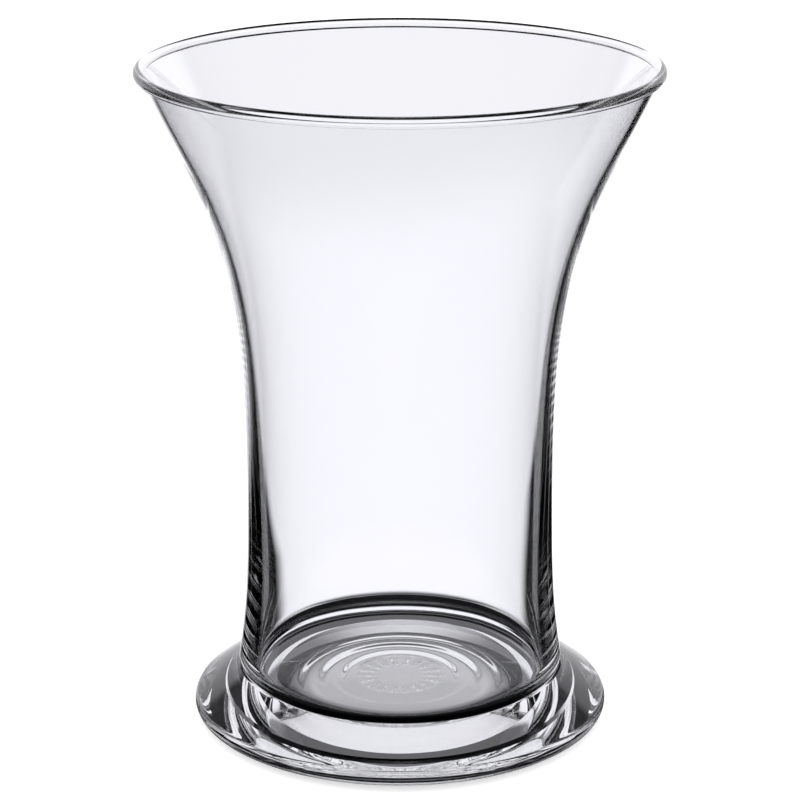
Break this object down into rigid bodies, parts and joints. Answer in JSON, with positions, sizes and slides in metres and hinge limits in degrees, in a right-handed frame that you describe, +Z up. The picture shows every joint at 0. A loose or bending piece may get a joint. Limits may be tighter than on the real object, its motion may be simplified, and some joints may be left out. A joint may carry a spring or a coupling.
{
  "type": "flared glass flower vase",
  "caption": "Clear glass flower vase: tall waisted wall flaring to a wide rounded lip, thick floor, and a heavy sloping disc foot with a raised resting ring.",
  "frame": {"origin": "centre of the resting ring, on the plane the vase stands on", "axes": "+Z up along the vase's axis of revolution; X and Y are equal by symmetry"},
  "size_m": [0.1532, 0.1532, 0.2],
  "materials": {
    "clear_glass": "polished",
    "foot_glass": "polished",
    "fire_polished_glass": "polished",
    "ring_glass": "polished"
  },
  "bodies": {
    "root": {"rim_bead": "fire_polished_glass", "flared_wall": "clear_glass", "foot_collar": "foot_glass", "base_slab": "clear_glass", "foot_disc": "foot_glass", "resting_ring": "ring_glass"}
  },
  "joints": []
}
